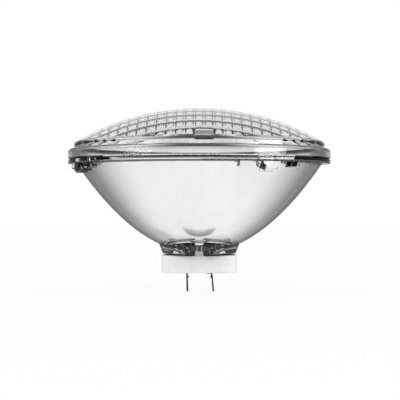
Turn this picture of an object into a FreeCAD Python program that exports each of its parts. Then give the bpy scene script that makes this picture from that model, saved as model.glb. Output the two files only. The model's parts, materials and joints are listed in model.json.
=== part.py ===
"""Sealed-beam parabolic lamp with a fluted lens and a two-blade ceramic cap.

The lamp stands cap down: +Z runs up the axis through the lens, and the front is -Y.
The origin is the middle of the cap's underside, where the lamp seats in its socket.
All lengths are in millimetres and all angles in degrees.
"""
import FreeCAD, Part
import Sketcher
import math
import os
from FreeCAD import Placement, Rotation, Vector

doc = FreeCAD.newDocument("SealedBeamLamp")

# Driving dimensions
SIZES = {
    # both glass rims
    "rim_radius": 89.0,
    "rim_round": 2.4,
    "bowl_rim_round": 1.2,
    "seam_chamfer": 0.7,
    # lens
    "lens_rim_height": 7.1,
    "shoulder_inset": 4.0,
    "shoulder_height": 4.0,
    "shoulder_round": 2.6,
    "dome_radius": 165.0,
    "lens_wall": 5.2,
    "lens_flange": 8.5,
    # stepped flutes inside the lens
    "flute_width": 6.1,
    "flute_depth": 12.4,
    "flute_sag": 1.15,
    "flute_follow": 0.7,
    "plain_pad_height": 1.0,
    # reflector bowl
    "bowl_height": 63.9,
    "bowl_mouth_inset": 5.8,
    "mirror_mouth_inset": 8.2,
    "bowl_floor": 4.5,
    "bowl_rim_height": 3.4,
    "bowl_cove": 2.2,
    # heel of the bowl
    "heel_top_radius": 27.3,
    "heel_foot_radius": 24.9,
    "heel_round": 1.4,
    "arch_radius": 7.6,
    "arch_recess": 3.2,
    "key_clearance": 0.4,
    # locating lugs under the rim; the three angles run from the front towards +X
    "lug_angle_right": 32.3,
    "lug_angle_left": -69.5,
    "lug_angle_back": 161.4,
    "lug_inset": 2.6,
    "lug_length": 12.4,
    "lug_width": 13.2,
    "lug_drop": 6.4,
    "lug_round": 3.6,
    "lug_face_round": 1.9,
    "side_lug_width": 8.4,
    "side_lug_drop": 3.4,
    "side_lug_round": 0.9,
    "side_lug_face_round": 0.4,
    "side_lug_angle": 12.7,
    # ceramic cap
    "base_length": 51.0,
    "base_depth": 32.0,
    "base_height": 11.9,
    "base_corner": 8.0,
    "base_edge": 0.9,
    "base_wall": 4.5,
    "base_floor": 5.0,
    "key_width": 5.4,
    "key_depth": 4.0,
    "key_height": 2.9,
    # seating layer between heel and cap
    "seat_thickness": 0.8,
    "seat_radius": 22.6,
    "seat_overhang": 1.6,
    "seat_land": 3.2,
    # contact blades
    "blade_spacing": 16.8,
    "blade_width": 9.5,
    "blade_thickness": 1.1,
    "blade_reach": 13.0,
    "blade_foot": 5.0,
    "blade_tip_round": 1.6,
    "blade_slot_clearance": 0.4,
    "dimple_radius": 0.95,
    "dimple_sink": 0.25,
    "dimple_depth": 3.2,
    "left_lean": 1.7,
    "right_lean": 5.4,
    # ferrules, straps and pumping tube
    "lead_spacing": 19.0,
    "ferrule_radius": 4.4,
    "ferrule_wall": 0.6,
    "ferrule_height": 4.6,
    "ferrule_lip": 1.0,
    "ferrule_lip_height": 0.5,
    "glass_hole_radius": 2.8,
    "strap_thickness": 0.5,
    "strap_width": 5.0,
    "strap_inner_reach": 3.0,
    "tube_radius": 3.0,
    "tube_bore": 1.8,
    "tube_length": 3.6,
    "tube_tip": 2.4,
    "tube_tip_radius": 1.0,
    "tube_bore_tip": 0.9,
    # filament and what holds it
    "lead_radius": 0.8,
    "lead_jog": 2.5,
    "lead_top": 4.2,
    "lead_bend": 1.2,
    "filament_radius": 0.7,
    "filament_pitch": 4.0,
    "filament_rise": 7.5,
    "filament_tail": 1.0,
    "filament_bend": 0.9,
    "bridge_radius": 2.2,
    "bridge_overhang": 2.4,
    "bridge_drop": 11.7,
    "support_radius": 0.35,
    "support_seat": 1.4,
    "support_clearance": 0.1,
    "support_bend": 0.53,
}

sheet = doc.addObject("Spreadsheet::Sheet", "Sizes")
for row, (alias, number) in enumerate(SIZES.items(), start=1):
    sheet.set(f"A{row}", alias)
    sheet.set(f"B{row}", str(number))
    sheet.setAlias(f"B{row}", alias)
doc.recompute()

# How close a point has to lie to count as on an edge
NEAR = 0.01

# Levels above the cap's underside, written as expressions of the sheet
HEEL = "(Sizes.base_height + Sizes.seat_thickness)"
SEAM = f"({HEEL} + Sizes.bowl_height)"
BOWL_UNDERSIDE = f"({SEAM} - Sizes.bowl_rim_height)"
LENS_RIM_TOP = f"({SEAM} + Sizes.lens_rim_height)"
SHOULDER_TOP = f"({LENS_RIM_TOP} + Sizes.shoulder_height)"
MIRROR_VERTEX = f"({HEEL} + Sizes.bowl_floor)"
FERRULE_FOOT = f"({HEEL} - Sizes.ferrule_height)"
FOOT_TOP = "(Sizes.base_floor + Sizes.blade_thickness)"

# Radii that follow the rim, and what they settle
SHOULDER_RADIUS = "(Sizes.rim_radius - Sizes.shoulder_inset)"
LENS_CAVITY = "(Sizes.rim_radius - Sizes.lens_flange)"
BOWL_MOUTH = "(Sizes.rim_radius - Sizes.bowl_mouth_inset)"
MIRROR_MOUTH = "(Sizes.rim_radius - Sizes.mirror_mouth_inset)"
LUG_REACH = "(Sizes.rim_radius - Sizes.lug_inset)"
DOME_CENTRE = f"({SHOULDER_TOP} - sqrt(Sizes.dome_radius ^ 2 - {SHOULDER_RADIUS} ^ 2))"
OUTER_FOCUS = f"({BOWL_MOUTH} ^ 2 / (4 * ({BOWL_UNDERSIDE} - {HEEL})))"
MIRROR_FOCUS = f"({MIRROR_MOUTH} ^ 2 / (4 * ({SEAM} - {MIRROR_VERTEX})))"


def size(expression):
    """The number that an expression of the sheet stands for."""
    return float(sheet.evalExpression(expression))


def plane(body, role):
    """One of the body's own origin planes."""
    return next(item for item in body.Origin.OriginFeatures if item.Role == role)


def new_body(name):
    body = doc.addObject("PartDesign::Body", name)
    body.Label = name
    return body


def new_sketch(body, name, role, level=None):
    """A sketch on an origin plane, raised along the plane's normal by an expression."""
    sketch = body.newObject("Sketcher::SketchObject", name)
    sketch.AttachmentSupport = [(plane(body, role), "")]
    sketch.MapMode = "FlatFace"
    if level is not None:
        sketch.setExpression("AttachmentOffset.Base.z", level)
    return sketch


def pin_point(sketch, geometry, end, across, up):
    """Fix one sketch point at two expressions measured from the origin."""
    for kind, axis, expression in (("DistanceX", -2, across), ("DistanceY", -1, up)):
        number = size(expression)
        if abs(number) < NEAR:
            sketch.addConstraint(Sketcher.Constraint("PointOnObject", geometry, end, axis))
            continue
        index = sketch.addConstraint(
            Sketcher.Constraint(kind, -1, 1, geometry, end, number)
        )
        sketch.setExpression(f"Constraints[{index}]", expression)


def draw_outline(sketch, corners):
    """A closed outline of straight lines through corners given as expressions."""
    points = [Vector(size(across), size(up), 0) for across, up in corners]
    count = len(points)
    first = sketch.GeometryCount
    for i in range(count):
        sketch.addGeometry(Part.LineSegment(points[i], points[(i + 1) % count]), False)
    for i in range(count):
        after = first + (i + 1) % count
        sketch.addConstraint(Sketcher.Constraint("Coincident", first + i, 2, after, 1))
        pin_point(sketch, first + i, 1, *corners[i])


def rectangle(length, depth, across="0", up="0"):
    """Corners of a rectangle about a centre, all as expressions."""
    left, right = f"{across} - {length} / 2", f"{across} + {length} / 2"
    low, high = f"{up} - {depth} / 2", f"{up} + {depth} / 2"
    return [(left, low), (right, low), (right, high), (left, high)]


def revolve(body, sketch, name):
    turned = body.newObject("PartDesign::Revolution", name)
    turned.Profile = sketch
    turned.ReferenceAxis = (sketch, ["V_Axis"])
    turned.Angle = 360
    sketch.Visibility = False
    return turned


def pad(body, sketch, name, length, both_ways=False):
    grown = body.newObject("PartDesign::Pad", name)
    grown.Profile = sketch
    grown.setExpression("Length", length)
    grown.Midplane = both_ways
    return grown


def pocket(body, sketch, name, depth):
    sunk = body.newObject("PartDesign::Pocket", name)
    sunk.Profile = sketch
    sunk.setExpression("Length", depth)
    return sunk


def edges_where(shape, wanted):
    """Names of the edges whose points, spread along their length, all pass a test."""
    names = []
    for number, edge in enumerate(shape.Edges, start=1):
        low, high = edge.ParameterRange
        spots = [edge.valueAt(low + (high - low) * part) for part in (0, 0.3, 0.5, 1)]
        if all(wanted(spot) for spot in spots):
            names.append(f"Edge{number}")
    return names


def near_ring(radius, level):
    """A test for points on a circle about the axis."""
    def on_ring(point):
        return (
            abs(math.hypot(point.x, point.y) - radius) < NEAR
            and abs(point.z - level) < NEAR
        )
    return on_ring


def fillet(body, base, name, radius, wanted):
    """Round the edges of a feature that pass a test on their points."""
    doc.recompute()
    rounded = body.newObject("PartDesign::Fillet", name)
    rounded.Base = (base, edges_where(base.Shape, wanted))
    rounded.setExpression("Radius", radius)
    return rounded


def cylinder(name, radius, height, x="0", y="0", z="0", rotation=None):
    """A Part cylinder whose sizes and place are expressions."""
    item = doc.addObject("Part::Cylinder", name)
    item.setExpression("Radius", radius)
    item.setExpression("Height", height)
    if rotation is not None:
        item.Placement = Placement(Vector(0, 0, 0), rotation)
    for axis, expression in zip("xyz", (x, y, z)):
        item.setExpression(f"Placement.Base.{axis}", expression)
    return item


def box(name, length, width, height, x="0", y="0", z="0"):
    """A Part box centred on x and y, standing on z, all as expressions."""
    item = doc.addObject("Part::Box", name)
    item.setExpression("Length", length)
    item.setExpression("Width", width)
    item.setExpression("Height", height)
    item.setExpression("Placement.Base.x", f"{x} - {length} / 2")
    item.setExpression("Placement.Base.y", f"{y} - {width} / 2")
    item.setExpression("Placement.Base.z", z)
    return item


def fuse(name, parts):
    joined = doc.addObject("Part::MultiFuse", name)
    joined.Shapes = parts
    return joined


def common(name, parts):
    shared = doc.addObject("Part::MultiCommon", name)
    shared.Shapes = parts
    return shared


def cut(name, base, tool):
    left_over = doc.addObject("Part::Cut", name)
    left_over.Base = base
    left_over.Tool = tool
    left_over.Refine = True
    return left_over


def fixed_shape(name, shape):
    """A feature whose shape is worked out here from the sheet's numbers."""
    item = doc.addObject("Part::Feature", name)
    item.Shape = shape
    item.Placement = Placement()
    return item


# Lens: a domed blank turned about the axis, with the flutes cut out from below
def make_lens_blank():
    body = new_body("LensBlank")
    sketch = new_sketch(body, "LensSection", "XZ_Plane")
    corners = [
        ("0", SEAM),
        ("Sizes.rim_radius - Sizes.seam_chamfer", SEAM),
        ("Sizes.rim_radius", f"{SEAM} + Sizes.seam_chamfer"),
        ("Sizes.rim_radius", LENS_RIM_TOP),
        (SHOULDER_RADIUS, LENS_RIM_TOP),
        (SHOULDER_RADIUS, SHOULDER_TOP),
        ("0", f"{DOME_CENTRE} + Sizes.dome_radius"),
    ]
    points = [Vector(size(across), size(up), 0) for across, up in corners]
    for start, end in zip(points[:5], points[1:6]):
        sketch.addGeometry(Part.LineSegment(start, end), False)
    centre = Vector(0, size(DOME_CENTRE), 0)
    dome = Part.Circle(centre, Vector(0, 0, 1), size("Sizes.dome_radius"))
    start_angle = math.atan2(points[5].y - centre.y, points[5].x)
    arc = sketch.addGeometry(Part.ArcOfCircle(dome, start_angle, math.pi / 2), False)
    closing = sketch.addGeometry(Part.LineSegment(points[6], points[0]), False)
    for i in range(4):
        sketch.addConstraint(Sketcher.Constraint("Coincident", i, 2, i + 1, 1))
    sketch.addConstraint(Sketcher.Constraint("Coincident", 4, 2, arc, 1))
    sketch.addConstraint(Sketcher.Constraint("Coincident", arc, 2, closing, 1))
    sketch.addConstraint(Sketcher.Constraint("Coincident", closing, 2, 0, 1))
    for i in range(5):
        pin_point(sketch, i, 1, *corners[i])
    pin_point(sketch, 4, 2, *corners[5])
    sketch.addConstraint(Sketcher.Constraint("PointOnObject", arc, 2, -2))
    pin_point(sketch, arc, 3, "0", DOME_CENTRE)
    turned = revolve(body, sketch, "LensTurned")
    rim = near_ring(size("Sizes.rim_radius"), size(LENS_RIM_TOP))
    rounded = fillet(body, turned, "LensRimRound", "Sizes.rim_round", rim)
    shoulder = near_ring(size(SHOULDER_RADIUS), size(SHOULDER_TOP))
    fillet(body, rounded, "LensShoulderRound", "Sizes.shoulder_round", shoulder)
    return body


def flute_row(number):
    """One row of flutes: arched columns side by side, run straight along the row."""
    width, depth = size("Sizes.flute_width"), size("Sizes.flute_depth")
    sag, wall = size("Sizes.flute_sag"), size("Sizes.lens_wall")
    cavity = size(LENS_CAVITY)
    centre, radius = size(DOME_CENTRE), size("Sizes.dome_radius") - wall
    middle = number * depth
    near = middle - depth / 2
    slope = -middle / math.sqrt(radius ** 2 - middle ** 2)
    rise = size("Sizes.flute_follow") * slope * depth
    closest = max(0.0, abs(middle) - depth / 2)
    half_chord = math.sqrt(cavity ** 2 - closest ** 2)
    side = math.ceil(half_chord / width - 0.5)
    front_row = -math.ceil(cavity / depth - 0.5)
    plain = (0, 1) if number == front_row else ()

    def ridge(x):
        level = centre + math.sqrt(radius ** 2 - x ** 2 - middle ** 2)
        return Vector(x, near, level - rise / 2)

    edges = []
    for column in range(-side, side + 1):
        left = ridge((column - 0.5) * width)
        right = ridge((column + 0.5) * width)
        if column in plain:
            step = Vector(0, 0, -size("Sizes.plain_pad_height"))
            if column == plain[0]:
                edges.append(Part.LineSegment(left, left + step))
            edges.append(Part.LineSegment(left + step, right + step))
            if column == plain[-1]:
                edges.append(Part.LineSegment(right + step, right))
            continue
        chord = right - left
        outward = Vector(-chord.z, 0, chord.x).normalize()
        crown = (left + right) * 0.5 + outward * sag
        edges.append(Part.Arc(left, crown, right))
    start, end = ridge(-(side + 0.5) * width), ridge((side + 0.5) * width)
    floor = size(SEAM) - depth
    low_left, low_right = Vector(start.x, near, floor), Vector(end.x, near, floor)
    edges += [
        Part.LineSegment(end, low_right),
        Part.LineSegment(low_right, low_left),
        Part.LineSegment(low_left, start),
    ]
    wire = Part.Wire([edge.toShape() for edge in edges])
    return Part.Face(wire).extrude(Vector(0, depth, rise))


def make_flutes():
    """All rows of flutes, cut round to the lens cavity."""
    depth, cavity = size("Sizes.flute_depth"), size(LENS_CAVITY)
    side = math.ceil(cavity / depth - 0.5)
    rows = [flute_row(number) for number in range(-side, side + 1)]
    well = Part.makeCylinder(
        cavity, size("Sizes.dome_radius"), Vector(0, 0, size(SEAM) - depth)
    )
    grid = rows[0].multiFuse(rows[1:])
    return fixed_shape("LensFlutes", grid.common(well))


lens = cut("lens", make_lens_blank(), make_flutes())


# Reflector: a parabolic bowl with a rim, lugs and a heel
def parabola(focus, vertex, from_radius, to_radius):
    """The arc of a parabola about the axis, exact as a curve of degree two."""
    four = 4 * focus
    curve = Part.BezierCurve()
    curve.setPoles([
        Vector(from_radius, 0, vertex + from_radius ** 2 / four),
        Vector((from_radius + to_radius) / 2, 0, vertex + from_radius * to_radius / four),
        Vector(to_radius, 0, vertex + to_radius ** 2 / four),
    ])
    return curve.toShape()


def turn(edges):
    """A solid of revolution about the axis from an open or closed section."""
    section = Part.Face(Part.Wire(edges))
    return section.revolve(Vector(0, 0, 0), Vector(0, 0, 1), 360)


def line(first, second):
    return Part.makeLine(Vector(first[0], 0, first[1]), Vector(second[0], 0, second[1]))


def round_rings(shape, rings):
    """Round circular edges about the axis, each given by radius, level and rounding."""
    for radius, level, rounding in rings:
        on_ring = near_ring(radius, level)
        names = edges_where(shape, on_ring)
        chosen = [shape.Edges[int(name[4:]) - 1] for name in names]
        shape = shape.makeFillet(rounding, chosen)
    return shape


def make_bowl_outside():
    heel, seam, underside = size(HEEL), size(SEAM), size(BOWL_UNDERSIDE)
    focus, rim, mouth = size(OUTER_FOCUS), size("Sizes.rim_radius"), size(BOWL_MOUTH)
    chamfer = size("Sizes.seam_chamfer")
    foot, top = size("Sizes.heel_foot_radius"), size("Sizes.heel_top_radius")
    heel_top = heel + top ** 2 / (4 * focus)
    section = [
        line((0, heel), (foot, heel)),
        line((foot, heel), (top, heel_top)),
        parabola(focus, heel, top, mouth),
        line((mouth, underside), (rim, underside)),
        line((rim, underside), (rim, seam - chamfer)),
        line((rim, seam - chamfer), (rim - chamfer, seam)),
        line((rim - chamfer, seam), (0, seam)),
        line((0, seam), (0, heel)),
    ]
    rings = (
        (foot, heel, size("Sizes.heel_round")),
        (mouth, underside, size("Sizes.bowl_cove")),
        (rim, underside, size("Sizes.bowl_rim_round")),
    )
    return fixed_shape("BowlOutside", round_rings(turn(section), rings))


def make_bowl_inside():
    vertex, focus = size(MIRROR_VERTEX), size(MIRROR_FOCUS)
    seam, mouth = size(SEAM), size(MIRROR_MOUTH)
    over = size("Sizes.lens_rim_height")
    section = [
        parabola(focus, vertex, 0, mouth),
        line((mouth, seam), (mouth, seam + over)),
        line((mouth, seam + over), (0, seam + over)),
        line((0, seam + over), (0, vertex)),
    ]
    return fixed_shape("BowlInside", turn(section))


def lug(angle, width, drop, rounding, face_rounding):
    """A lug under the rim: a radial bar with rounded lower corners."""
    underside, rise = size(BOWL_UNDERSIDE), size("Sizes.bowl_rim_height") / 2
    length, reach = size("Sizes.lug_length"), size(LUG_REACH)
    bar = Part.makeBox(
        width, length, drop + rise, Vector(-width / 2, -reach, underside - drop)
    )
    lower = [
        edge for edge in bar.Edges
        if edge.BoundBox.ZMax < underside - drop + NEAR
        and edge.BoundBox.YLength > length / 2
    ]
    bar = bar.makeFillet(rounding, lower)
    face = [
        edge for edge in bar.Edges
        if edge.BoundBox.YMax < -reach + NEAR and edge.BoundBox.ZMin < underside - drop + NEAR
    ]
    bar = bar.makeFillet(face_rounding, face)
    return bar.rotated(Vector(0, 0, 0), Vector(0, 0, 1), angle)


def make_lugs():
    parts = ("width", "drop", "round", "face_round")
    wide = [size(f"Sizes.lug_{part}") for part in parts]
    small = [size(f"Sizes.side_lug_{part}") for part in parts]
    spread = size("Sizes.side_lug_angle")
    bars = []
    for group in ("right", "left", "back"):
        middle = size(f"Sizes.lug_angle_{group}")
        bars.append(lug(middle, *wide))
        bars.append(lug(middle - spread, *small))
        bars.append(lug(middle + spread, *small))
    return fixed_shape("Lugs", Part.makeCompound(bars))


def make_heel_cuts():
    """Arched recesses at front and back, key slots behind them, and the glass's holes."""
    along_y = Rotation(Vector(1, 0, 0), -90)
    top, floor = "Sizes.heel_top_radius", "Sizes.bowl_floor"
    slot_width = "(Sizes.key_width + 2 * Sizes.key_clearance)"
    slot_height = "(Sizes.key_height + Sizes.key_clearance - Sizes.seat_thickness)"
    slot_end = "(Sizes.base_depth / 2 - Sizes.key_depth - Sizes.key_clearance)"
    slot_length = f"({top} - {slot_end})"
    tools = []
    for side, sign in (("Front", "-1"), ("Back", "1")):
        start = "-1 * Sizes.heel_top_radius" if sign == "-1" else (
            "Sizes.heel_top_radius - Sizes.arch_recess"
        )
        tools.append(cylinder(
            f"Arch{side}", "Sizes.arch_radius", "Sizes.arch_recess", y=start, z=HEEL,
            rotation=along_y,
        ))
        middle = f"{sign} * ({slot_end} + {slot_length} / 2)"
        tools.append(box(
            f"KeySlot{side}", slot_width, slot_length, slot_height, y=middle, z=HEEL
        ))
    for side, sign in (("Left", "-1"), ("Right", "1")):
        tools.append(cylinder(
            f"LeadHole{side}", "Sizes.glass_hole_radius", f"2 * {floor}",
            x=f"{sign} * Sizes.lead_spacing / 2", z=HEEL,
        ))
    tools.append(cylinder("PumpHole", "Sizes.tube_bore", f"2 * {floor}", z=HEEL))
    return fuse("HeelCuts", tools)


bowl_with_lugs = fuse("BowlWithLugs", [make_bowl_outside(), make_lugs()])
bowl_hollow = cut("BowlHollow", bowl_with_lugs, make_bowl_inside())
reflector = cut("reflector", bowl_hollow, make_heel_cuts())


# Ceramic cap: a rounded block, hollow from above, with slots for the blades
def make_base_block():
    body = new_body("base_block")
    sketch = new_sketch(body, "CapOutline", "XY_Plane")
    draw_outline(sketch, rectangle("Sizes.base_length", "Sizes.base_depth"))
    block = pad(body, sketch, "CapBlock", "Sizes.base_height")
    half_length, half_depth = size("Sizes.base_length") / 2, size("Sizes.base_depth") / 2

    def corner(point):
        return (
            abs(abs(point.x) - half_length) < NEAR and abs(abs(point.y) - half_depth) < NEAR
        )

    corners = fillet(body, block, "CapCorners", "Sizes.base_corner", corner)
    height = size("Sizes.base_height")

    def bottom_or_top(point):
        return abs(point.z) < NEAR or abs(point.z - height) < NEAR

    soft = fillet(body, corners, "CapEdges", "Sizes.base_edge", bottom_or_top)
    doc.recompute()

    keys = new_sketch(body, "KeyOutline", "XY_Plane", "Sizes.base_height")
    inset = "(Sizes.base_depth / 2 - (Sizes.key_depth + Sizes.base_edge) / 2)"
    for sign in ("-1", "1"):
        draw_outline(keys, rectangle(
            "Sizes.key_width", "(Sizes.key_depth - Sizes.base_edge)", "0", f"{sign} * {inset}"
        ))
    pad(body, keys, "Keys", "Sizes.key_height")

    well = new_sketch(body, "WellOutline", "XY_Plane", "Sizes.base_height")
    draw_outline(well, rectangle(
        "(Sizes.base_length - 2 * Sizes.base_wall)", "(Sizes.base_depth - 2 * Sizes.base_wall)"
    ))
    sunk = pocket(body, well, "Well", "Sizes.base_height - Sizes.base_floor")
    well_x = half_length - size("Sizes.base_wall")
    well_y = half_depth - size("Sizes.base_wall")

    def well_corner(point):
        return abs(abs(point.x) - well_x) < NEAR and abs(abs(point.y) - well_y) < NEAR

    fillet(body, sunk, "WellCorners", "(Sizes.base_corner - Sizes.base_wall)", well_corner)

    slots = new_sketch(body, "SlotOutline", "XY_Plane", "Sizes.base_floor")
    for sign in ("-1", "1"):
        draw_outline(slots, rectangle(
            "(Sizes.blade_thickness + 2 * Sizes.blade_slot_clearance)",
            "(Sizes.blade_width + 2 * Sizes.blade_slot_clearance)",
            f"{sign} * Sizes.blade_spacing / 2", "0",
        ))
    pocket(body, slots, "BladeSlots", "Sizes.base_floor")
    return body


base_block = make_base_block()


# Seat gasket: a thin disc under the heel's foot, trimmed to the cap's top and open over its well
def make_seat_gasket():
    disc = cylinder("SeatDisc", "Sizes.seat_radius", "Sizes.seat_thickness", z="Sizes.base_height")
    strip = box(
        "SeatStrip", "2 * Sizes.seat_radius", "(Sizes.base_depth - 2 * Sizes.base_edge)",
        "Sizes.seat_thickness", z="Sizes.base_height",
    )
    trimmed = common("SeatTrimmed", [disc, strip])
    hole_disc = cylinder(
        "SeatHoleDisc", "(Sizes.seat_radius - Sizes.seat_land)", "Sizes.seat_thickness",
        z="Sizes.base_height",
    )
    hole_strip = box(
        "SeatHoleStrip", "2 * Sizes.seat_radius",
        "(Sizes.base_depth - 2 * (Sizes.base_wall + Sizes.seat_overhang))",
        "Sizes.seat_thickness", z="Sizes.base_height",
    )
    hole = common("SeatHole", [hole_disc, hole_strip])
    notch_depth = "(Sizes.key_depth + 2 * Sizes.key_clearance)"
    notches = [
        box(
            f"SeatNotch{name}", "(Sizes.key_width + 2 * Sizes.key_clearance)", notch_depth,
            "Sizes.seat_thickness",
            y=f"{sign} * (Sizes.base_depth / 2 - Sizes.key_depth / 2)", z="Sizes.base_height",
        )
        for name, sign in (("Front", "-1"), ("Back", "1"))
    ]
    return cut("seat_gasket", trimmed, fuse("SeatOpenings", [hole] + notches))


seat_gasket = make_seat_gasket()


# Contact blades: a foot on the cap's floor, a straight shank and a leaning free end
def make_blade(name, sign, lean):
    """A brass blade; sign is -1 on the left and 1 on the right, lean is towards +X."""
    body = new_body(f"{name}_strip")
    sketch = new_sketch(body, f"{name}_side", "XZ_Plane")
    half = "Sizes.blade_thickness / 2"
    root = f"{sign} * Sizes.blade_spacing / 2"
    tip_shift = f"Sizes.blade_reach * tan({lean} * 1deg)"
    foot_end = f"{root} + {sign} * (Sizes.blade_foot + {half})"
    tip = "-1 * Sizes.blade_reach"
    inner, outer = f"{root} - {sign} * {half}", f"{root} + {sign} * {half}"
    corners = [
        (inner, FOOT_TOP),
        (inner, "0"),
        (f"{inner} + {tip_shift}", tip),
        (f"{outer} + {tip_shift}", tip),
        (outer, "0"),
        (outer, "Sizes.base_floor"),
        (foot_end, "Sizes.base_floor"),
        (foot_end, FOOT_TOP),
    ]
    draw_outline(sketch, corners)
    strip = pad(body, sketch, f"{name}_plate", "Sizes.blade_width", both_ways=True)
    tip_level = size(tip)
    half_width = size("Sizes.blade_width") / 2

    def tip_corner(point):
        return abs(point.z - tip_level) < NEAR and abs(abs(point.y) - half_width) < NEAR

    fillet(body, strip, f"{name}_tip", "Sizes.blade_tip_round", tip_corner)
    dimple = doc.addObject("Part::Sphere", f"{name}_dimple")
    dimple.setExpression("Radius", "Sizes.dimple_radius")
    lean_there = f"Sizes.dimple_depth * tan({lean} * 1deg)"
    dimple.setExpression(
        "Placement.Base.x", f"{root} + {lean_there} - {sign} * ({half} - Sizes.dimple_sink)"
    )
    dimple.setExpression("Placement.Base.z", "-1 * Sizes.dimple_depth")
    return fuse(name, [body, dimple])


blade_left = make_blade("blade_left", "-1", "Sizes.left_lean")
blade_right = make_blade("blade_right", "1", "Sizes.right_lean")


# Ferrules: drawn metal cups sealed under the heel, one for each lead
def make_ferrule(name, sign):
    body = new_body(name)
    sketch = new_sketch(body, f"{name}_section", "XZ_Plane")
    lip = "(Sizes.ferrule_radius + Sizes.ferrule_lip)"
    inner = "(Sizes.ferrule_radius - Sizes.ferrule_wall)"
    corners = [
        ("0", FERRULE_FOOT),
        ("Sizes.ferrule_radius", FERRULE_FOOT),
        ("Sizes.ferrule_radius", f"{HEEL} - Sizes.ferrule_lip_height"),
        (lip, f"{HEEL} - Sizes.ferrule_lip_height"),
        (lip, HEEL),
        (inner, HEEL),
        (inner, f"{FERRULE_FOOT} + Sizes.ferrule_wall"),
        ("0", f"{FERRULE_FOOT} + Sizes.ferrule_wall"),
    ]
    draw_outline(sketch, corners)
    revolve(body, sketch, f"{name}_cup")
    body.setExpression("Placement.Base.x", f"{sign} * Sizes.lead_spacing / 2")
    return body


ferrule_left = make_ferrule("ferrule_left", "-1")
ferrule_right = make_ferrule("ferrule_right", "1")


# Straps: a flat ribbon folded from under the ferrule on to the blade's foot
def make_strap(name, sign):
    body = new_body(name)
    sketch = new_sketch(body, f"{name}_side", "XZ_Plane")
    outside = f"{sign} * (Sizes.blade_spacing / 2 + Sizes.blade_foot + Sizes.blade_thickness / 2)"
    inside = f"{sign} * (Sizes.blade_spacing / 2 + Sizes.blade_thickness)"
    reach = f"{sign} * (Sizes.lead_spacing / 2 - Sizes.strap_inner_reach)"
    corners = [
        (inside, FOOT_TOP),
        (outside, FOOT_TOP),
        (outside, FERRULE_FOOT),
        (reach, FERRULE_FOOT),
        (reach, f"{FERRULE_FOOT} - Sizes.strap_thickness"),
        (f"{outside} - {sign} * Sizes.strap_thickness", f"{FERRULE_FOOT} - Sizes.strap_thickness"),
        (f"{outside} - {sign} * Sizes.strap_thickness", f"{FOOT_TOP} + Sizes.strap_thickness"),
        (inside, f"{FOOT_TOP} + Sizes.strap_thickness"),
    ]
    draw_outline(sketch, corners)
    pad(body, sketch, f"{name}_ribbon", "Sizes.strap_width", both_ways=True)
    return body


strap_left = make_strap("strap_left", "-1")
strap_right = make_strap("strap_right", "1")


# Pumping tube: a short glass stem under the heel, melted shut at its lower end
def make_exhaust_tip():
    body = new_body("exhaust_tip")
    sketch = new_sketch(body, "StemSection", "XZ_Plane")
    shank_end = f"({HEEL} - Sizes.tube_length)"
    corners = [
        ("0", f"{shank_end} - Sizes.tube_tip"),
        ("Sizes.tube_tip_radius", f"{shank_end} - Sizes.tube_tip"),
        ("Sizes.tube_radius", shank_end),
        ("Sizes.tube_radius", HEEL),
        ("Sizes.tube_bore", HEEL),
        ("Sizes.tube_bore", shank_end),
        ("0", f"{shank_end} - Sizes.tube_bore_tip"),
    ]
    draw_outline(sketch, corners)
    revolve(body, sketch, "Stem")
    return body


exhaust_tip = make_exhaust_tip()


# Wires: round sections swept along straight runs joined by arcs
def wire_path(points, bend):
    """Straight runs through the points, with an arc of radius bend at each inner point."""
    edges = []
    at = points[0]
    for before, corner_point, after in zip(points, points[1:], points[2:]):
        into = (corner_point - before).normalize()
        out = (after - corner_point).normalize()
        turning = into.getAngle(out)
        setback = bend * math.tan(turning / 2)
        start, end = corner_point - into * setback, corner_point + out * setback
        inward = (out - into).normalize()
        centre = corner_point + inward * (bend / math.cos(turning / 2))
        middle = centre - inward * bend
        edges.append(Part.makeLine(at, start))
        edges.append(Part.Arc(start, middle, end).toShape())
        at = end
    edges.append(Part.makeLine(at, points[-1]))
    return Part.Wire(edges)


def round_wire(points, radius, bend):
    direction = (points[1] - points[0]).normalize()
    ring = Part.Wire(Part.makeCircle(radius, points[0], direction))
    return wire_path(points, bend).makePipeShell([ring], True, False)


# Levels of the filament: its middle stands at the focus of the mirror
focus_level = size(MIRROR_VERTEX) + size(MIRROR_FOCUS)
filament_low = focus_level - size("Sizes.filament_rise") / 2
filament_high = focus_level + size("Sizes.filament_rise") / 2
filament_start = filament_low - size("Sizes.filament_tail")
bridge_level = focus_level - size("Sizes.bridge_drop")
lead_x = size("Sizes.lead_spacing") / 2
pitch = size("Sizes.filament_pitch")


def make_filament():
    path = [Vector(2 * pitch, 0, filament_start), Vector(2 * pitch, 0, filament_low)]
    path += [Vector(pitch, 0, filament_high), Vector(0, 0, filament_low)]
    path += [Vector(-pitch, 0, filament_high), Vector(-2 * pitch, 0, filament_low)]
    path.append(Vector(-2 * pitch, 0, filament_start))
    coil = round_wire(path, size("Sizes.filament_radius"), size("Sizes.filament_bend"))
    return fixed_shape("filament", coil)


def make_lead(name, sign):
    """A stiff post from the ferrule's floor up to one end of the filament."""
    foot = size(FERRULE_FOOT) + size("Sizes.ferrule_wall")
    jog = size("Sizes.lead_jog")
    straight_end = filament_start - size("Sizes.lead_top")
    path = [
        Vector(sign * lead_x, 0, foot),
        Vector(sign * lead_x, 0, straight_end),
        Vector(sign * 2 * pitch, 0, straight_end + jog),
        Vector(sign * 2 * pitch, 0, filament_start),
    ]
    wire = round_wire(path, size("Sizes.lead_radius"), size("Sizes.lead_bend"))
    return fixed_shape(name, wire)


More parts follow.
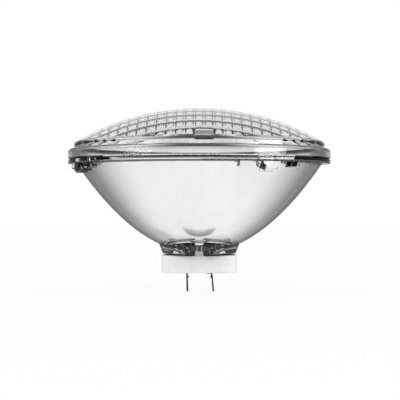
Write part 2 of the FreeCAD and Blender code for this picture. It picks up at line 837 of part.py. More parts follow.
def support_hook(x, level, above):
    """A fine wire from the bridge that holds one bend, from above or from below."""
    radius = size("Sizes.support_radius")
    clear = size("Sizes.filament_radius") + radius + size("Sizes.support_clearance")
    start = bridge_level + size("Sizes.bridge_radius") - size("Sizes.support_seat")
    hold = level + clear if above else level - clear
    back = -1 if above else 1
    path = [
        Vector(x, clear, start),
        Vector(x, clear, hold),
        Vector(x, -clear, hold),
        Vector(x, -clear, hold + back * 2 * clear),
    ]
    return round_wire(path, radius, size("Sizes.support_bend"))


def bend_level(level, towards):
    """Where the filament's middle line passes at a bend, inside its corner."""
    bend = size("Sizes.filament_bend")
    half_turn = math.atan2(size("Sizes.filament_rise"), pitch)
    return level - towards * bend * (1 / math.cos(half_turn) - 1)


def hook_places():
    return [
        (-pitch, bend_level(filament_high, 1), True),
        (0.0, bend_level(filament_low, -1), False),
        (pitch, bend_level(filament_high, 1), True),
    ]


def make_supports():
    hooks = [support_hook(*place) for place in hook_places()]
    return fixed_shape("filament_supports", Part.makeCompound(hooks))


def make_bridge():
    """A glass rod across both posts, with a hole for each post and each hook."""
    radius = size("Sizes.bridge_radius")
    half = lead_x + size("Sizes.bridge_overhang")
    rod = Part.makeCylinder(radius, 2 * half, Vector(-half, 0, bridge_level), Vector(1, 0, 0))
    holes = [
        Part.makeCylinder(
            size("Sizes.lead_radius"), 4 * radius, Vector(sign * lead_x, 0, bridge_level - 2 * radius)
        )
        for sign in (-1, 1)
    ]
    wire = size("Sizes.support_radius")
    clear = size("Sizes.filament_radius") + wire + size("Sizes.support_clearance")
    seat = bridge_level + radius - size("Sizes.support_seat")
    holes += [
        Part.makeCylinder(wire, 2 * radius, Vector(x, clear, seat)) for x, _, _ in hook_places()
    ]
    return fixed_shape("filament_bridge", rod.cut(holes))


filament = make_filament()
lead_wire_left = make_lead("lead_wire_left", -1)
lead_wire_right = make_lead("lead_wire_right", 1)
filament_supports = make_supports()
filament_bridge = make_bridge()

NODES = {
    "lens": lens,
    "reflector": reflector,
    "base_block": base_block,
    "seat_gasket": seat_gasket,
    "blade_left": blade_left,
    "blade_right": blade_right,
    "ferrule_left": ferrule_left,
    "ferrule_right": ferrule_right,
    "strap_left": strap_left,
    "strap_right": strap_right,
    "exhaust_tip": exhaust_tip,
    "lead_wire_left": lead_wire_left,
    "lead_wire_right": lead_wire_right,
    "filament": filament,
    "filament_bridge": filament_bridge,
    "filament_supports": filament_supports,
}

doc.recompute()
for item in doc.Objects:
    if "Invalid" in item.State or "Error" in item.State:
        raise RuntimeError(f"{item.Name} failed: {item.State}")
for name, item in NODES.items():
    item.Label = name
    if item.Shape.isNull() or not item.Shape.isValid():
        raise RuntimeError(f"{name} has no valid shape")

os.makedirs("parts", exist_ok=True)
for name, item in NODES.items():
    item.Shape.exportStep(f"parts/{name}.step")
    print(f"{name}: {len(item.Shape.Solids)} solid(s), {item.Shape.Volume / 1000:.2f} cm3")
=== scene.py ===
# %% [markdown]
# # A sealed-beam spotlight bulb
# The lamp is two pieces of pressed glass melted together at the rim: a lens with
# stepped flutes inside, and a parabolic bowl with a mirror coat. A ceramic cap with two
# flat brass blades carries it. The solids come ready made from the imported part, in
# metres, cap down, with the front at -Y. This file gives each its finish, adds what is
# too fine for a solid (the mirror film, the coiled wire, the cement in the joint) and
# black pieces of painted shade in the heel, and makes the lens again with the soft
# steps that a press leaves.

# %% Load the solid parts
import json
import math

import bmesh
import bpy
import numpy as np
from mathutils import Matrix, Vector


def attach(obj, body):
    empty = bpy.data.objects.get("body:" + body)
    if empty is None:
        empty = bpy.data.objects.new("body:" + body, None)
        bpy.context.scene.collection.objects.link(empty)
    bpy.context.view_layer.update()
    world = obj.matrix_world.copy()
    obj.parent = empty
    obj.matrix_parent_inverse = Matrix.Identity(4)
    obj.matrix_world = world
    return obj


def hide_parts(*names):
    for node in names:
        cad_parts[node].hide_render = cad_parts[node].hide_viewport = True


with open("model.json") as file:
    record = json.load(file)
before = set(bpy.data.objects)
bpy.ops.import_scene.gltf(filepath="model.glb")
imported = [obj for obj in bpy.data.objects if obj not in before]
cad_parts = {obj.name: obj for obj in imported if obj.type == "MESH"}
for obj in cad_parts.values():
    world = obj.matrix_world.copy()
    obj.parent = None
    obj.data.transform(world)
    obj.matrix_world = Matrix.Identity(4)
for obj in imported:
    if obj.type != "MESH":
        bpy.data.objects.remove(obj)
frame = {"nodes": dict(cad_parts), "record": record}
parts = frame["nodes"]
print("solid parts:", ", ".join(sorted(parts)))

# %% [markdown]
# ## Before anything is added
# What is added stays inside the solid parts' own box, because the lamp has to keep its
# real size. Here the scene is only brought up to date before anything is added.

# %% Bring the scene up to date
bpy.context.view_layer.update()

# %% [markdown]
# ## Camera
# The photo looks at the lamp from the front, level with the middle of the bowl. How
# flat the rim looks gives the distance, about 85 cm. The camera's lens could be set by
# eye, but it is worked out from the width of the picture where the lamp stands, 27 cm.

# %% Camera
CAMERA_ASIDE = 0.0005
CAMERA_DISTANCE = 0.85
CAMERA_HEIGHT = 0.049
PICTURE_WIDTH = 0.2724
SENSOR_WIDTH = 36.0


def add_object(name, data):
    """A new object in the scene, from a mesh, a curve, a lamp or a camera."""
    item = bpy.data.objects.new(name, data)
    bpy.context.scene.collection.objects.link(item)
    return item


camera_data = bpy.data.cameras.new("front_camera")
camera_data.sensor_width = SENSOR_WIDTH
camera_data.lens = SENSOR_WIDTH * CAMERA_DISTANCE / PICTURE_WIDTH
camera = add_object("front_camera", camera_data)
camera.location = (CAMERA_ASIDE, -CAMERA_DISTANCE, CAMERA_HEIGHT)
camera.rotation_euler = (math.radians(90), 0, 0)
bpy.context.scene.camera = camera
print("camera lens:", round(camera_data.lens, 1), "mm")


# %% [markdown]
# ## Helpers for materials
# Each finish of the lamp is a set of shader nodes round one main shader. Its plain
# values are set on the shader's own sockets. A picture of the surface could be wrapped
# round a piece instead, but nodes need no picture and stay sharp from close by.

# %% Start a material
def start_material(name, **values):
    """A material with one main shader; values are given by socket name."""
    material = bpy.data.materials.new(name)
    material.use_nodes = True
    shader = material.node_tree.nodes["Principled BSDF"]
    for socket, value in values.items():
        shader.inputs[socket.replace("_", " ")].default_value = value
    return material, shader


def add_node(material, kind, **values):
    """A new node with its plain values set."""
    node = material.node_tree.nodes.new(kind)
    for socket, value in values.items():
        node.inputs[socket.replace("_", " ")].default_value = value
    return node


def join(material, output, socket):
    """A link from one node to the next."""
    material.node_tree.links.new(output, socket)


# %% [markdown]
# ## Noise for wear and unevenness
# No real surface has one colour or one gloss all over. The patches could be painted one
# by one, but noise gives each point a value near one half, and that value moves the
# colour, the roughness or the height a little. The patches have the size that they have
# on the real piece: centimetres on the mirror, tenths of a millimetre on brass.

# %% Noise, bumps and drifting values
NOISE_LOW = 0.35
NOISE_HIGH = 0.65


def add_noise(material, scale, stretch=(1, 1, 1), detail=4.0):
    """Noise in the object's own space; a small stretch value makes long streaks."""
    place = add_node(material, "ShaderNodeTexCoord")
    sizes = add_node(material, "ShaderNodeMapping", Scale=stretch)
    noise = add_node(material, "ShaderNodeTexNoise", Scale=scale, Detail=detail)
    join(material, place.outputs["Object"], sizes.inputs["Vector"])
    join(material, sizes.outputs["Vector"], noise.inputs["Vector"])
    return noise.outputs["Fac"]


def add_bumps(material, shader, scale, depth, stretch=(1, 1, 1), detail=2.0):
    """Fine unevenness of the surface."""
    bump = add_node(material, "ShaderNodeBump", Strength=1.0, Distance=depth)
    join(material, add_noise(material, scale, stretch, detail), bump.inputs["Height"])
    join(material, bump.outputs["Normal"], shader.inputs["Normal"])


def drift_colour(material, shader, dark, light, scale, stretch=(1, 1, 1)):
    """Patches between two colours; returns the colour, for more to be laid over it."""
    blend = add_node(material, "ShaderNodeValToRGB")
    for element, place, colour in zip(
        blend.color_ramp.elements, (NOISE_LOW, NOISE_HIGH), (dark, light)
    ):
        element.position = place
        element.color = (*colour, 1)
    join(material, add_noise(material, scale, stretch), blend.inputs["Fac"])
    join(material, blend.outputs["Color"], shader.inputs["Base Color"])
    return blend.outputs["Color"]


def drift_roughness(material, shader, low, high, scale, stretch=(1, 1, 1)):
    """Patches between a smoother and a rougher surface."""
    change = add_node(
        material, "ShaderNodeMapRange",
        From_Min=NOISE_LOW, From_Max=NOISE_HIGH, To_Min=low, To_Max=high,
    )
    join(material, add_noise(material, scale, stretch), change.inputs["Value"])
    join(material, change.outputs["Result"], shader.inputs["Roughness"])


def lay_over(material, shader, under, share, colour):
    """Lay a colour over another by a share from 0 to 1, and use the result."""
    blend = add_node(material, "ShaderNodeMixRGB", Color2=(*colour, 1))
    join(material, share, blend.inputs["Fac"])
    join(material, under, blend.inputs["Color1"])
    join(material, blend.outputs["Color"], shader.inputs["Base Color"])


# %% [markdown]
# ## Shading by place
# Some marks sit at one place: the frosted pad on the lens, a darker streak in the
# mirror, the painted shade on the middle of the cap. They could be painted, but a rule
# on the coordinates keeps their place and size as plain numbers.

# %% Helpers for shading by place
def math_node(tree, operation, first, second=None, third=None, clamp=False):
    """One math step; each input is a number or another node's output."""
    node = tree.nodes.new("ShaderNodeMath")
    node.operation = operation
    node.use_clamp = clamp
    for socket, value in zip(node.inputs, (first, second, third)):
        if value is None:
            continue
        if isinstance(value, (int, float)):
            socket.default_value = value
        else:
            tree.links.new(value, socket)
    return node.outputs[0]


def product(tree, first, *others):
    """Several values multiplied together."""
    result = first
    for value in others:
        result = math_node(tree, "MULTIPLY", result, value)
    return result


def soft_step(tree, value, low, high):
    """0 below low, 1 above high and smooth between; reversed when low is the larger."""
    node = tree.nodes.new("ShaderNodeMapRange")
    node.interpolation_type = "SMOOTHSTEP"
    tree.links.new(value, node.inputs["Value"])
    node.inputs["From Min"].default_value = min(low, high)
    node.inputs["From Max"].default_value = max(low, high)
    node.inputs["To Min"].default_value = 0 if low < high else 1
    node.inputs["To Max"].default_value = 1 if low < high else 0
    return node.outputs[0]


def inside(tree, value, low, high):
    """1 where the value lies between low and high, else 0."""
    above = math_node(tree, "GREATER_THAN", value, low)
    below = math_node(tree, "LESS_THAN", value, high)
    return math_node(tree, "MULTIPLY", above, below)


def coordinates(tree, output):
    """The three coordinates of the shaded point."""
    place = tree.nodes.new("ShaderNodeTexCoord")
    split = tree.nodes.new("ShaderNodeSeparateXYZ")
    tree.links.new(place.outputs[output], split.inputs[0])
    return split.outputs["X"], split.outputs["Y"], split.outputs["Z"]


# %% [markdown]
# ## Clear pressed glass
# The lens and the bowl are clear borosilicate glass, which bends light with an index of
# refraction of 1.47. Plain transparency would be quicker, but it bends nothing, and the
# flutes would vanish. The main shader bends light when it is given full transmission
# and no roughness. Pressing leaves the surface very slightly wavy and the glass very
# slightly tinted, so a little noise bends and tints it.

# %% Clear glass
clear_glass, glass_shader = start_material(
    "clear_pressed_glass", Roughness=0.0, IOR=1.47, Transmission_Weight=1.0,
)
add_bumps(clear_glass, glass_shader, scale=60, depth=0.00002)
drift_colour(
    clear_glass, glass_shader, dark=(0.985, 0.99, 0.985), light=(1, 1, 1), scale=25,
)
print("glass nodes:", len(clear_glass.node_tree.nodes))

# %% [markdown]
# ## The frosted pad
# In the front row two flutes give way to a flat, frosted pad. It could be a piece of
# its own, but it is the same glass, only rough, so its place in the lens sets the
# roughness.

# %% The frosted pad
PAD_ACROSS = (-0.00305, 0.00915)
PAD_ALONG = (-0.0757, -0.0670)
PAD_HIGH = (0.0838, 0.0893)
PAD_ROUGHNESS = 0.45

tree = clear_glass.node_tree
pad = product(tree, *(
    inside(tree, value, low, high)
    for value, (low, high) in zip(
        coordinates(tree, "Object"), (PAD_ACROSS, PAD_ALONG, PAD_HIGH)
    )
))
pad_roughness = math_node(tree, "MULTIPLY", pad, PAD_ROUGHNESS)
tree.links.new(pad_roughness, glass_shader.inputs["Roughness"])
print("pad width in mm:", round(1000 * (PAD_ACROSS[1] - PAD_ACROSS[0]), 1))

# %% [markdown]
# ## The mirror coat
# Inside the bowl lies a film of aluminium, laid on as vapour, and from outside it is
# seen through the glass. The film is a bright metal that isn't quite even: it is a
# shade darker in streaks up the wall. The streaks could be painted, but noise that is
# stretched upwards gives them with one number.

# %% Mirror finish
mirror_coat, mirror_shader = start_material("aluminium_mirror", Metallic=1.0)
film = drift_colour(
    mirror_coat, mirror_shader, dark=(0.85, 0.85, 0.85), light=(0.9, 0.9, 0.9),
    scale=45, stretch=(1, 1, 0.4),
)
drift_roughness(mirror_coat, mirror_shader, low=0.065, high=0.095, scale=30)
add_bumps(mirror_coat, mirror_shader, scale=70, depth=0.00001)
print("mirror nodes:", len(mirror_coat.node_tree.nodes))

# %% [markdown]
# ## A darker streak in the mirror
# Low on the left the film is darker in one faint, slanting streak. A second piece of
# film could lie there, but a darker long spot in the finish needs no edge. The
# distances along and across the spot's own slant say how far inside it a point lies.

# %% The darker streak
STREAK_MIDDLE = (-0.0220, 0.0282)
STREAK_SLOPE = math.radians(-24)
STREAK_LENGTH = (0.0100, 0.0030)
STREAK_WIDTH = (0.0028, 0.0002)
STREAK_DARK = 0.3

tree = mirror_coat.node_tree
x, y, z = coordinates(tree, "Object")
off_x = math_node(tree, "SUBTRACT", x, STREAK_MIDDLE[0])
off_z = math_node(tree, "SUBTRACT", z, STREAK_MIDDLE[1])
along = math_node(
    tree, "ADD", math_node(tree, "MULTIPLY", off_x, math.cos(STREAK_SLOPE)),
    math_node(tree, "MULTIPLY", off_z, math.sin(STREAK_SLOPE)),
)
across = math_node(
    tree, "SUBTRACT", math_node(tree, "MULTIPLY", off_z, math.cos(STREAK_SLOPE)),
    math_node(tree, "MULTIPLY", off_x, math.sin(STREAK_SLOPE)),
)
on_front = math_node(tree, "LESS_THAN", y, 0.0)
dark_streak = product(
    tree, soft_step(tree, math_node(tree, "ABSOLUTE", along), *STREAK_LENGTH),
    soft_step(tree, math_node(tree, "ABSOLUTE", across), *STREAK_WIDTH),
    on_front, STREAK_DARK,
)
lay_over(mirror_coat, mirror_shader, film, dark_streak, (0, 0, 0))
print("mirror nodes with the smear:", len(tree.nodes))

# %% [markdown]
# ## White ceramic
# The cap is steatite, a dense white ceramic, pressed and fired without a glaze. It is
# matt, slightly mottled, and has the fine grain of the pressed powder. Its middle under
# the glass heel is darkened with painted shade, most towards the top, so that the short
# ends look whiter. One white would do from far away. Coarse noise for the mottling and
# fine noise for the grain hold up close by.

# %% Ceramic
# painted shade under the heel: its width, its height, its share and its colour
SHADE_ACROSS = (0.0235, 0.0080)
SHADE_HIGH = (-0.0010, 0.0110)
SHADE_SHARE = 0.5
SHADE_COLOUR = (0.6, 0.6, 0.59)

white_ceramic, ceramic_shader = start_material("white_steatite", IOR=1.5)
biscuit = drift_colour(
    white_ceramic, ceramic_shader, dark=(0.87, 0.87, 0.86), light=(0.94, 0.94, 0.935),
    scale=130,
)
tree = white_ceramic.node_tree
x, _, z = coordinates(tree, "Object")
# painted shade: darker in the middle of the cap and towards its top, broken up by noise
heel_shade = product(
    tree, soft_step(tree, math_node(tree, "ABSOLUTE", x), *SHADE_ACROSS),
    soft_step(tree, z, *SHADE_HIGH), SHADE_SHARE,
)
heel_shade = math_node(tree, "MULTIPLY", heel_shade, add_noise(white_ceramic, scale=90))
lay_over(white_ceramic, ceramic_shader, biscuit, heel_shade, SHADE_COLOUR)
drift_roughness(white_ceramic, ceramic_shader, low=0.38, high=0.55, scale=400)
add_bumps(white_ceramic, ceramic_shader, scale=900, depth=0.00002, detail=6.0)
print("ceramic nodes:", len(white_ceramic.node_tree.nodes))

# %% [markdown]
# ## Aged brass
# The two blades are rolled brass strip. Handling and heat turn it brown in small
# patches, and pushing it into a socket draws fine scratches along it. Each scratch
# could be cut as a line, but noise that is stretched upwards gives hundreds.

# %% Brass
dull_brass, brass_shader = start_material("aged_brass", Metallic=1.0)
drift_colour(
    dull_brass, brass_shader, dark=(0.035, 0.025, 0.014), light=(0.15, 0.105, 0.048),
    scale=350,
)
drift_roughness(
    dull_brass, brass_shader, low=0.28, high=0.5, scale=600, stretch=(1, 1, 0.2),
)
add_bumps(
    dull_brass, brass_shader, scale=2500, depth=0.000006, stretch=(1, 1, 0.08),
)
print("brass nodes:", len(dull_brass.node_tree.nodes))

# %% [markdown]
# ## Nickel iron and tungsten
# The cups and posts that carry the current are nickel iron, a greyish metal dulled
# where it was heated for the glass seal. The filament and its hooks are tungsten wire,
# darker and faintly marked by drawing. One grey metal could serve both, but they lie
# side by side, so each has its own shade and grain.

# %% Nickel iron and tungsten
nickel_iron, nickel_shader = start_material("nickel_iron", Metallic=1.0)
drift_colour(
    nickel_iron, nickel_shader, dark=(0.38, 0.37, 0.34), light=(0.58, 0.57, 0.54),
    scale=500,
)
drift_roughness(nickel_iron, nickel_shader, low=0.22, high=0.4, scale=900)
add_bumps(nickel_iron, nickel_shader, scale=2000, depth=0.000005)

tungsten, tungsten_shader = start_material("drawn_tungsten", Metallic=1.0)
drift_colour(
    tungsten, tungsten_shader, dark=(0.2, 0.2, 0.21), light=(0.38, 0.38, 0.4),
    scale=700,
)
drift_roughness(tungsten, tungsten_shader, low=0.3, high=0.5, scale=1500)
add_bumps(tungsten, tungsten_shader, scale=4000, depth=0.000004)
print("nickel iron nodes:", len(nickel_iron.node_tree.nodes))

# %% [markdown]
# ## Burnt coat and black cement
# Where the flame melts the two pieces of glass together it burns the mirror film to a
# dark, patchy edge. The cement under the glass is black and grainy, and so dull that
# its shine is turned down almost to nothing. Both finishes also serve as painted shade:
# the black in the heel's joint and rear recess, and the dark lining of the pumping
# hole.
# One flat black would look like a hole, so both drift between two dark greys.

# %% Burnt coat and cement
burnt_coat_and_shade, burnt_and_shade_shader = start_material("burnt_coat_edge")
drift_colour(
    burnt_coat_and_shade, burnt_and_shade_shader, dark=(0.02, 0.02, 0.02), light=(0.1, 0.1, 0.1),
    scale=250,
)
drift_roughness(burnt_coat_and_shade, burnt_and_shade_shader, low=0.45, high=0.75, scale=400)
add_bumps(burnt_coat_and_shade, burnt_and_shade_shader, scale=900, depth=0.00001)

black_cement_and_shade, cement_shader = start_material("black_cement_and_shade", Specular_IOR_Level=0.05)
drift_colour(
    black_cement_and_shade, cement_shader, dark=(0.002, 0.002, 0.002),
    light=(0.009, 0.009, 0.009), scale=900,
)
drift_roughness(black_cement_and_shade, cement_shader, low=0.6, high=0.85, scale=1500)
add_bumps(black_cement_and_shade, cement_shader, scale=1800, depth=0.00004, detail=6.0)
print("cement nodes:", len(black_cement_and_shade.node_tree.nodes))

# %% [markdown]
# ## Give each solid its finish
# The record of the part names a material for each solid. The finishes could be given
# piece by piece, but handed out by that name none is forgotten.

# %% Hand out the finishes
FINISHES = {
    "clear_glass": clear_glass,
    "mirror_coat": mirror_coat,
    "white_ceramic": white_ceramic,
    "dark_gasket": black_cement_and_shade,
    "brass": dull_brass,
    "nickel_iron": nickel_iron,
    "tungsten": tungsten,
}


def give_finish(piece, material):
    """One finish all over a piece."""
    piece.data.materials.clear()
    piece.data.materials.append(material)


for row in frame["record"]["subparts"]:
    give_finish(parts[row["node"]], FINISHES[row["material_slot"]])
print("finishes:", len(FINISHES))


# %% [markdown]
# ## Turned pieces
# Film, lens and cement are round, like a pot off the wheel. They could be copied from
# the solids' own faces, but a profile of radius and height turned about the lamp's axis
# is shorter, and its steps can be chosen. An open profile gives a thin skin. One that
# starts and ends on the axis gives a closed solid, which can be cut.

# %% Turn a profile
def turned(name, profile, steps=256, closed=False):
    """A profile of radius and height, turned about the axis."""
    ring = profile[1:-1] if closed else profile
    points = [(0, 0, profile[0][1]), (0, 0, profile[-1][1])] if closed else []
    first, rows = len(points), len(ring)
    for i in range(steps):
        angle = 2 * math.pi * i / steps
        points += [(r * math.cos(angle), r * math.sin(angle), h) for r, h in ring]
    faces = []
    for i in range(steps):
        here, after = first + i * rows, first + (i + 1) % steps * rows
        if closed:
            faces += [(0, after, here), (1, here + rows - 1, after + rows - 1)]
        faces += [
            (here + j, after + j, after + j + 1, here + j + 1) for j in range(rows - 1)
        ]
    mesh = bpy.data.meshes.new(name)
    mesh.from_pydata(points, [], faces)
    mesh.polygons.foreach_set("use_smooth", [not closed] * len(mesh.polygons))
    return add_object(name, mesh)


# %% [markdown]
# ## The mirror film
# The inside of the bowl is a paraboloid, which sends light from its focus out as a
# straight beam. The bowl's inner faces could be painted as a mirror, but a film of its
# own can be left out round the two posts, as on the real lamp, where it would otherwise
# short the current. It lies 0.04 mm off the glass, so that the two surfaces don't
# flicker into each other.

# %% The mirror
MIRROR_VERTEX = 0.0172
MIRROR_EDGE = 0.0766
MIRROR_MOUTH = 0.0808
MIRROR_FOCUS = MIRROR_MOUTH ** 2 / (4 * (MIRROR_EDGE - MIRROR_VERTEX))
MIRROR_GAP = 0.00004
MIRROR_START = 0.003
BURN_START = 0.0750
LEAD_OFFSET = 0.0095
CLEAR_AROUND_LEAD = 0.0024


def mirror_line(start, end, steps):
    """Radius and height along the inside of the bowl."""
    line = []
    for i in range(steps + 1):
        level = start + (end - start) * (i / steps) ** 2
        radius = math.sqrt(4 * MIRROR_FOCUS * (level - MIRROR_VERTEX))
        line.append((max(radius - MIRROR_GAP, MIRROR_START), level + MIRROR_GAP))
    return line


mirror = turned("mirror_surface", mirror_line(MIRROR_VERTEX, BURN_START, steps=60))
coat = bmesh.new()
coat.from_mesh(mirror.data)
windows = []
for face in coat.faces:
    centre = face.calc_center_median()
    if math.hypot(abs(centre.x) - LEAD_OFFSET, centre.y) < CLEAR_AROUND_LEAD:
        windows.append(face)
bmesh.ops.delete(coat, geom=windows, context="FACES")
coat.to_mesh(mirror.data)
coat.free()
give_finish(mirror, mirror_coat)
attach(mirror, "root")
print("faces left out round the leads:", len(windows))

# %% [markdown]
# ## The burnt edge and the lined hole
# At the rim the sealing flame turns the last 1.4 mm of the film dark, which shows as a
# dark band under the lens. The hole in the middle of the heel, through which the air
# was pumped out, gets a dark lining as painted shade for the shade inside it. Both
# could be shades of the mirror's own finish, but as short skins they have clean ends.

# %% The burnt edge and the hole's lining
BURN_END = 0.0764
HOLE_RADIUS = 0.0018
HOLE_FOOT = 0.01275

coat_edge = turned("coat_edge", mirror_line(BURN_START, BURN_END, steps=6))
give_finish(coat_edge, burnt_coat_and_shade)
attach(coat_edge, "root")

# the lining is painted shade, a dark skin inside the pumping hole
lining_radius = HOLE_RADIUS - MIRROR_GAP
hole_shade_lining = turned(
    "hole_shade_lining", [(lining_radius, HOLE_FOOT), (lining_radius, MIRROR_VERTEX)],
    steps=48,
)
give_finish(hole_shade_lining, burnt_coat_and_shade)
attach(hole_shade_lining, "root")
print("burnt edge in mm:", round(1000 * (BURN_END - BURN_START), 1))

# %% [markdown]
# ## The fluted lens
# The real lens is pressed in one go: a smooth dome outside, and inside thirteen rows of
# small arched flutes that step down with the dome and spread the beam. It could be
# carved by hand, but a rule describes it fully, so the inside is made as a height for
# each point, closed to a block, and cut out of a turned dome.

# %% Sizes of the dome
SEAM_LEVEL = 0.0766
SHOULDER_RADIUS = 0.085
SHOULDER_TOP = 0.0877
DOME_RADIUS = 0.165
DOME_CENTRE = SHOULDER_TOP - math.sqrt(DOME_RADIUS ** 2 - SHOULDER_RADIUS ** 2)
LENS_WALL = 0.0052
CAVITY_RADIUS = 0.0805
print("dome top in mm:", round(1000 * (DOME_CENTRE + DOME_RADIUS), 1))

# %% [markdown]
# ## The height of the flutes
# Each row is a run of shallow arches across and a slight crown along, laid on the
# slope of the dome. Between rows the height steps down. The step could be sharp, but a
# press can't leave that in glass, so neighbouring rows are blended over half a
# millimetre to each side.

# %% Height of the flutes
FLUTE_WIDTH = 0.0061
FLUTE_DEPTH = 0.0124
FLUTE_SAG = 0.0006
FLUTE_CROWN = 0.0004
STEP_SOFTNESS = 0.0005
SIDE_ROWS = math.ceil(CAVITY_RADIUS / FLUTE_DEPTH - 0.5)
FRONT_ROW = -SIDE_ROWS
# the pad's two sides and the softness of its edge, in widths of a flute
PAD_SIDES = (-0.5, 1.5)
PAD_SOFTNESS = 0.05
PAD_DROP = 0.0006


def smooth(value, low, high):
    """0 at low, 1 at high and smooth between."""
    share = np.clip((value - low) / (high - low), 0, 1)
    return share * share * (3 - 2 * share)


def row_level(x, y, row):
    """Height of one row's flutes, carried on past its ends."""
    radius = DOME_RADIUS - LENS_WALL
    middle = row * FLUTE_DEPTH
    slope = -middle / np.sqrt(radius ** 2 - middle ** 2)
    ridge = DOME_CENTRE + np.sqrt(radius ** 2 - x ** 2 - middle ** 2)
    off_middle = x / FLUTE_WIDTH - np.round(x / FLUTE_WIDTH)
    arch = FLUTE_SAG * (1 - (2 * off_middle) ** 2)
    if row == FRONT_ROW:
        on_pad = 1
        for side, inward in zip(PAD_SIDES, (PAD_SOFTNESS, -PAD_SOFTNESS)):
            on_pad = on_pad * smooth(
                x, (side - inward) * FLUTE_WIDTH, (side + inward) * FLUTE_WIDTH
            )
        arch = arch * (1 - on_pad) - PAD_DROP * on_pad
    along = y - middle
    crown = FLUTE_CROWN * (1 - (2 * along / FLUTE_DEPTH) ** 2)
    return ridge + arch + crown + slope * along


def flute_level(x, y):
    """Height of the lens's inside, with soft steps between the rows."""
    level = row_level(x, y, FRONT_ROW)
    for row in range(FRONT_ROW + 1, SIDE_ROWS + 1):
        edge = (row - 0.5) * FLUTE_DEPTH
        share = smooth(y, edge - STEP_SOFTNESS, edge + STEP_SOFTNESS)
        level = level + share * (row_level(x, y, row) - level)
    return level


print("flute rows:", SIDE_ROWS - FRONT_ROW + 1)

# %% [markdown]
# ## Points for the flutes
# A grid of points takes its height from the rule above. An even grid would blur the
# steps or need very many points, so more of them lie at the steps, where the surface
# bends most.

# %% A grid of points
SIDE_COLUMNS = 14
COLUMN_POINTS = 11
# where points lie along a row, and about the step at its end
ROW_SHARES = (0.1, 0.25, 0.4, 0.55, 0.7, 0.85)
STEP_SHARES = (-1.0, -0.6, -0.2, 0.2, 0.6, 1.0)

column_shares = np.linspace(-0.5, 0.5, COLUMN_POINTS)
points_across = np.unique(np.concatenate([
    (column + column_shares) * FLUTE_WIDTH
    for column in range(-SIDE_COLUMNS, SIDE_COLUMNS + 1)
]).round(7))
points_along = [-(SIDE_ROWS + 0.5) * FLUTE_DEPTH]
for row in range(-SIDE_ROWS, SIDE_ROWS + 1):
    near = (row - 0.5) * FLUTE_DEPTH
    edge = near + FLUTE_DEPTH
    points_along += [near + share * FLUTE_DEPTH for share in ROW_SHARES]
    points_along += [edge + share * STEP_SOFTNESS for share in STEP_SHARES]
points_along = np.array(sorted(points_along))
print("grid:", len(points_across), "by", len(points_along), "points")


# %% [markdown]
# ## A block with the flutes on top
# A sheet of flutes can't be cut out of a solid cleanly. So the grid is given sides and
# a floor, which close it to a solid block.

# %% The block that carries the flutes
BLOCK_FLOOR = SEAM_LEVEL - 0.01


def flute_block(name):
    """A closed block whose top is the inside of the lens."""
    x, y = np.meshgrid(points_across, points_along)
    top = flute_level(x, y)
    low = np.full_like(top, BLOCK_FLOOR)
    points = np.concatenate([
        np.stack([x, y, level], -1).reshape(-1, 3) for level in (top, low)
    ])
    rows, columns = x.shape
    count = rows * columns
    faces = []
    # the top and the floor
    for j in range(rows - 1):
        for i in range(columns - 1):
            a = j * columns + i
            b = count + a
            faces.append((a, a + 1, a + columns + 1, a + columns))
            faces.append((b, b + columns, b + columns + 1, b + 1))
    # front and back
    for i in range(columns - 1):
        faces.append((i, count + i, count + i + 1, i + 1))
        a = (rows - 1) * columns + i
        faces.append((a + 1, count + a + 1, count + a, a))
    # left and right
    for j in range(rows - 1):
        a = j * columns
        faces.append((a + columns, count + a + columns, count + a, a))
        a += columns - 1
        faces.append((a, count + a, count + a + columns, a + columns))
    mesh = bpy.data.meshes.new(name)
    mesh.from_pydata(points.tolist(), [], faces)
    return add_object(name, mesh)


# %% [markdown]
# ## Cutting one solid with another
# The flutes, the holes in the cement and the half disc at the back are all cuts. They
# could be made face by face, but Blender cuts closed solids from each other by itself,
# and two plain cutters do for all of them: a round disc or rod, and a box.

# %% Cutters and cuts
def disc(name, radius, low, high, steps=256):
    """A closed round disc or rod between two heights."""
    profile = [(0, low), (radius, low), (radius, high), (0, high)]
    return turned(name, profile, steps, closed=True)


def box(name, size, centre):
    """A closed box."""
    mesh = bpy.data.meshes.new(name)
    corners = bmesh.new()
    bmesh.ops.create_cube(corners, size=1)
    corners.to_mesh(mesh)
    corners.free()
    piece = add_object(name, mesh)
    piece.scale = size
    piece.location = centre
    return piece


def apply_changes(piece):
    """Turn the piece's modifiers into plain mesh."""
    graph = bpy.context.evaluated_depsgraph_get()
    mesh = bpy.data.meshes.new_from_object(piece.evaluated_get(graph))
    piece.modifiers.clear()
    piece.data = mesh


def combine(target, cutter, operation):
    """Cut or intersect two solids and drop the cutter."""
    change = target.modifiers.new("change", "BOOLEAN")
    change.operation = operation
    change.solver = "MANIFOLD"
    change.object = cutter
    apply_changes(target)
    bpy.data.objects.remove(cutter)


# %% [markdown]
# ## The lens's outline
# Outside, the lens is a dome on a rounded shoulder and a rounded rim. The roundings
# could be bevelled afterwards, but in a profile each is one arc that meets its
# neighbours exactly.

# %% The lens's outline
RIM_RADIUS = 0.089
LENS_RIM_TOP = 0.0837
RIM_ROUND = 0.0024
SHOULDER_ROUND = 0.0026
SHOULDER_CHAMFER = 0.0004
SEAM_CHAMFER = 0.0007
# splits the broad underside into two rings of faces
FACE_RING = 0.04


def arc(centre, radius, start, end, steps):
    """Points on an arc in a profile; angles in degrees from the outward direction."""
    angles = [math.radians(start + (end - start) * i / steps) for i in range(steps + 1)]
    return [
        (centre[0] + radius * math.cos(angle), centre[1] + radius * math.sin(angle))
        for angle in angles
    ]


